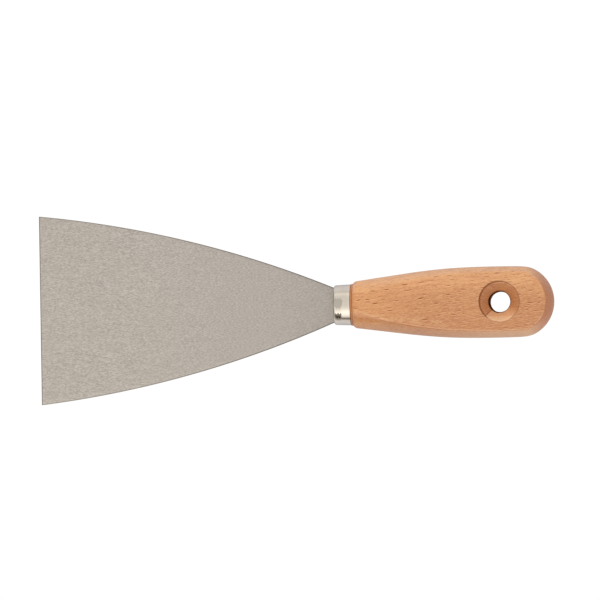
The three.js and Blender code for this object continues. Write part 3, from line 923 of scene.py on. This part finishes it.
    # Painted shade: a dark line at the rim of the countersink, strongest towards the left and top-left and
    # faint at the bottom, and a dark painted shadow in the mouth of the bore, widest towards the lower left.
    to_left = s.math("COSINE", s.math("SUBTRACT", bearing, 2.7))
    rim_width = s.ramp(to_left, -0.2, 0.9, 0.36, 0.62)
    rim = line_at(s, away, COUNTERSINK_RADIUS - 0.1, rim_width)
    rim = s.math("MULTIPLY", rim, s.ramp(to_left, -1.0, 0.5, 0.5, 0.85))
    below = s.math("ABSOLUTE", s.math("ADD", bearing, math.pi / 2))
    rim = s.math("MULTIPLY", rim, s.ramp(below, 0.3, 0.9, 0.2, 1.0))
    base = s.mix(rim, base, linear(112, 58, 28))
    to_low_left = s.math("COSINE", s.math("SUBTRACT", bearing, -2.6))
    bore_shade_radius = s.math("ADD", HOLE_RADIUS, s.ramp(to_low_left, 0.0, 0.9, 0.3, 0.62))
    bore = s.ramp(s.math("SUBTRACT", away, bore_shade_radius), 0.0, -0.3)
    mouth = s.math("MULTIPLY", bore, s.ramp(s.math("ABSOLUTE", z), 1.0, 4.0))
    base = s.mix(mouth, base, linear(62, 32, 20))
    # Painted shadow: a dark line in the gap beside the ferrule's rim, and the collar behind it made darker.
    gap_shadow = line_at(s, x, FERRULE_LENGTH + 0.1, 0.5)
    collar = s.ramp(x, SHOULDER_X + 0.5, SHOULDER_X + 0.15)
    base = s.mix(s.math("MULTIPLY", collar, 0.6), base, linear(186, 118, 72))
    base = s.mix(s.math("MULTIPLY", gap_shadow, 0.5), base, linear(104, 62, 40))
    painted_shade_lines = s.math("MAXIMUM", s.math("MAXIMUM", bore, rim), gap_shadow)

    rough = s.ramp(fibres, 0.3, 0.7, 0.42, 0.52)
    relief = s.math("MULTIPLY_ADD", long_dark, -0.8, s.math("MULTIPLY", hairs, 0.6))
    inputs = {"Base Color": base, "Roughness": rough, "Normal": s.bump(relief, 0.2, 0.08)}
    # The lacquer is thinner on the sides and the end, and over the rays. It is left off the painted shade
    # lines at the countersink, the bore and the ferrule's rim.
    level = s.ramp(upright, 0.1, 0.8, 0.45, 1)
    coat = s.math("MULTIPLY", s.ramp(painted_shade_lines, 0, 1, 1, 0), level)
    coat = s.math("MULTIPLY", coat, s.math("MULTIPLY_ADD", open_pores, -0.6, 1.0))
    inputs |= {"Specular IOR Level": s.ramp(painted_shade_lines, 0, 1, 0.25, 0), "Coat Weight": coat}
    inputs |= {"Coat Roughness": 0.2, "Coat IOR": 1.65}
    inputs |= {"Coat Normal": s.bump(relief, 0.12, 0.05)}
    finish_material(s, inputs)
    return material


def resin_material():
    """Set adhesive: dull amber with a few bubbles."""
    material, s = new_material("tang_resin")
    at = s.place()
    cloud = s.noise(at, scale=0.4, detail=3.0)
    bubbles = s.node("ShaderNodeTexVoronoi", {"Vector": at, "Scale": 0.9}).outputs["Distance"]
    base = s.mix(cloud, linear(196, 176, 122), linear(216, 200, 150))
    base = s.mix(s.ramp(bubbles, 0.2, 0.12, 0, 0.5), base, linear(236, 226, 190))
    finish_material(s, {"Base Color": base, "Roughness": 0.38, "Normal": s.bump(bubbles, 0.3, 0.1)})
    return material


# ---- studio ----------------------------------------------------------------------------------------------

PAPER_WHITE = (1.02, 1.02, 1.02, 1)  # what the camera sees of the table and the room
TABLE_HALF_SIZE = 3.0  # metres
TABLE_GAP = 0.0001  # metres between the knife and the table
REST_X = NECK_X + BODY_X + 1.5  # the handle's front underside touches the table here


def table_directions():
    """A point on the table, the way along the knife, and the table's normal.

    The knife rests on its working edge and on its handle's front.
    """
    touch = Vector((0, 0, -EDGE_HALF_THICKNESS)) * MM
    other = Vector((REST_X, 0, -HALF_THICKNESS)) * MM
    along = (other - touch).normalized()
    return touch, along, Vector((-along.z, 0, along.x))


def build_floor():
    """A white table, lit evenly like a light table."""
    touch, along, normal = table_directions()
    half = TABLE_HALF_SIZE
    across = normal.cross(along)
    centre = touch - normal * TABLE_GAP
    places = ((-half, -half), (half, -half), (half, half), (-half, half))
    corners = [centre + along * a + across * b for a, b in places]
    mesh = bpy.data.meshes.new("table")
    mesh.from_pydata(corners, [], [(0, 1, 2, 3)])
    material, s = new_material("white_table")
    path = s.node("ShaderNodeLightPath")
    seen = s.mix(path.outputs["Is Camera Ray"], (0.85, 0.85, 0.85, 1), PAPER_WHITE)
    glow = s.node("ShaderNodeEmission", {"Color": seen, "Strength": 1.0}).outputs[0]
    s.node("ShaderNodeOutputMaterial", {"Surface": glow})
    mesh.materials.append(material)
    floor = bpy.data.objects.new("table", mesh)
    bpy.context.scene.collection.objects.link(floor)
    floor.visible_glossy = False  # shiny surfaces see the world's table instead


# What shiny surfaces reflect, by degrees from straight up, with the +Y side positive.
ROOM_GLOW = 0.8
TABLE_GLOW = (0.42, 0.75)  # straight below, and out towards the horizon
TABLE_RISE = (180, 112)  # degrees where the table has those two
HORIZON = (86, 96)  # degrees over which the room gives way to the table
BIG_BOX = (-45, 23, 0.63)  # a soft box's middle, spread and strength
SMALL_BOX = (63, 8, 0.15)
DEEP_GAP = (-86, 9.5, 0.78)  # the dark gap between the table and the big box, in the same form
FAINT_GAP = (82, 5, 0.14)
GAP_TINT = (1, 0.92, 0.82, 1)
TABLE_TINT = (1, 1.02, 1.09, 1)
ROOM_ENDS = (0.66, 0.8)  # how far along X a direction points where the room gets darker
DARK_ENDS = (0.4, 0.4, 0.4, 1)
DULL_ROOM = (0.8, 0.8, 0.8, 1)  # what dull surfaces are lit by


def bell(s, degrees, middle, spread_degrees):
    """1 at the middle, falling off softly on both sides."""
    off = s.math("MULTIPLY_ADD", degrees, 1 / spread_degrees, -middle / spread_degrees)
    return s.math("EXPONENT", s.math("MULTIPLY", s.math("MULTIPLY", off, off), -1.0))


def build_world():
    """A white room. Shiny surfaces see two soft boxes in it and the gaps at the horizon."""
    world = bpy.data.worlds.new("studio")
    bpy.context.scene.world = world
    world.use_nodes = True
    s = Shader(world.node_tree)
    direction = s.node("ShaderNodeTexCoord").outputs["Generated"]
    x, y, z = s.split(direction)
    degrees = s.math("MULTIPLY", s.math("ARCTAN2", y, z), 180 / math.pi)
    from_top = s.math("ABSOLUTE", degrees)
    table = s.mix(1.0, s.ramp(from_top, *TABLE_RISE, *TABLE_GLOW), TABLE_TINT, "MULTIPLY")
    room = s.mix(s.ramp(from_top, *HORIZON), (ROOM_GLOW, ROOM_GLOW, ROOM_GLOW, 1), table)
    for middle, spread_degrees, strength in (BIG_BOX, SMALL_BOX):
        glow = s.math("MULTIPLY", bell(s, degrees, middle, spread_degrees), strength)
        room = s.mix(1.0, room, glow, "ADD")
    for middle, spread_degrees, strength in (DEEP_GAP, FAINT_GAP):
        kept = s.math("MULTIPLY_ADD", bell(s, degrees, middle, spread_degrees), -strength, 1.0)
        room = s.mix(1.0, room, kept, "MULTIPLY")
    room = s.mix(bell(s, degrees, *DEEP_GAP[:2]), room, GAP_TINT, "MULTIPLY")
    # The room is darker beyond both ends of the knife.
    room = s.mix(s.ramp(s.math("ABSOLUTE", x), *ROOM_ENDS), room, DARK_ENDS)
    path = s.node("ShaderNodeLightPath")
    glossy = s.mix(path.outputs["Is Glossy Ray"], DULL_ROOM, room)
    seen = s.mix(path.outputs["Is Camera Ray"], glossy, PAPER_WHITE)
    background = s.node("ShaderNodeBackground", {"Color": seen, "Strength": 1.0})
    s.node("ShaderNodeOutputWorld", {"Surface": background.outputs[0]})


def area_light(name, offset, size, power):
    """A square soft box at an offset from the middle of the knife, facing it."""
    middle = (cad_low + cad_high) / 2
    data = bpy.data.lights.new(name, "AREA")
    data.shape = "SQUARE"
    data.size = size
    data.energy = power
    light = bpy.data.objects.new(name, data)
    light.location = middle + Vector(offset)
    light.rotation_euler = (-Vector(offset)).to_track_quat("-Z", "Y").to_euler()
    light.visible_glossy = False
    bpy.context.scene.collection.objects.link(light)


CAMERA_TILT = 4.8  # degrees towards the handle's end
CAMERA_SIDE = 1.6  # degrees towards -Y
CAMERA_ROLL = 0.99  # degrees
CAMERA_DISTANCE = 2.5  # metres
CAMERA_TARGET = (0.10354, 0.00232, 0.0)
SENSOR_WIDTH = 36  # millimetres
PICTURE_WIDTH = 0.23764  # what the picture spans at the knife


def build_camera():
    tilt = math.tan(math.radians(CAMERA_TILT))
    lean = math.tan(math.radians(CAMERA_SIDE))
    toward = Vector((tilt, -lean, 1)).normalized()
    right = Vector((0, 1, 0)).cross(toward).normalized()
    up = toward.cross(right)
    turn = Matrix.Rotation(math.radians(-CAMERA_ROLL), 3, toward)
    axes = Matrix((turn @ right, turn @ up, toward)).transposed()
    data = bpy.data.cameras.new("camera")
    data.sensor_width = SENSOR_WIDTH
    data.lens = data.sensor_width * CAMERA_DISTANCE / PICTURE_WIDTH
    camera = bpy.data.objects.new("camera", data)
    camera.matrix_world = Matrix.Translation(Vector(CAMERA_TARGET) + toward * CAMERA_DISTANCE) @ axes.to_4x4()
    bpy.context.scene.collection.objects.link(camera)
    bpy.context.scene.camera = camera


def paint_cad_nodes(materials):
    """Gives every CAD node its material, the hidden ones too."""
    slots = {part["node"]: part["material_slot"] for part in frame["record"]["subparts"]}
    for name, node in frame["nodes"].items():
        node.data.materials.clear()
        node.data.materials.append(materials[slots[name]])


def main():
    bpy.context.scene.view_settings.view_transform = "Standard"
    materials = {
        "ground_steel": steel_material(),
        "plated_ferrule": nickel_material(),
        "lacquered_beech": beech_material(),
        "tang_resin": resin_material(),
    }
    build_blade(materials["ground_steel"])
    build_ferrule(materials["plated_ferrule"])
    build_handle(materials["lacquered_beech"])
    paint_cad_nodes(materials)
    build_floor()
    build_world()
    area_light("key", offset=(-0.5, 0.6, 1.0), size=0.5, power=6.5)
    area_light("fill", offset=(0.8, -0.9, 0.25), size=0.8, power=3.0)
    build_camera()


main()
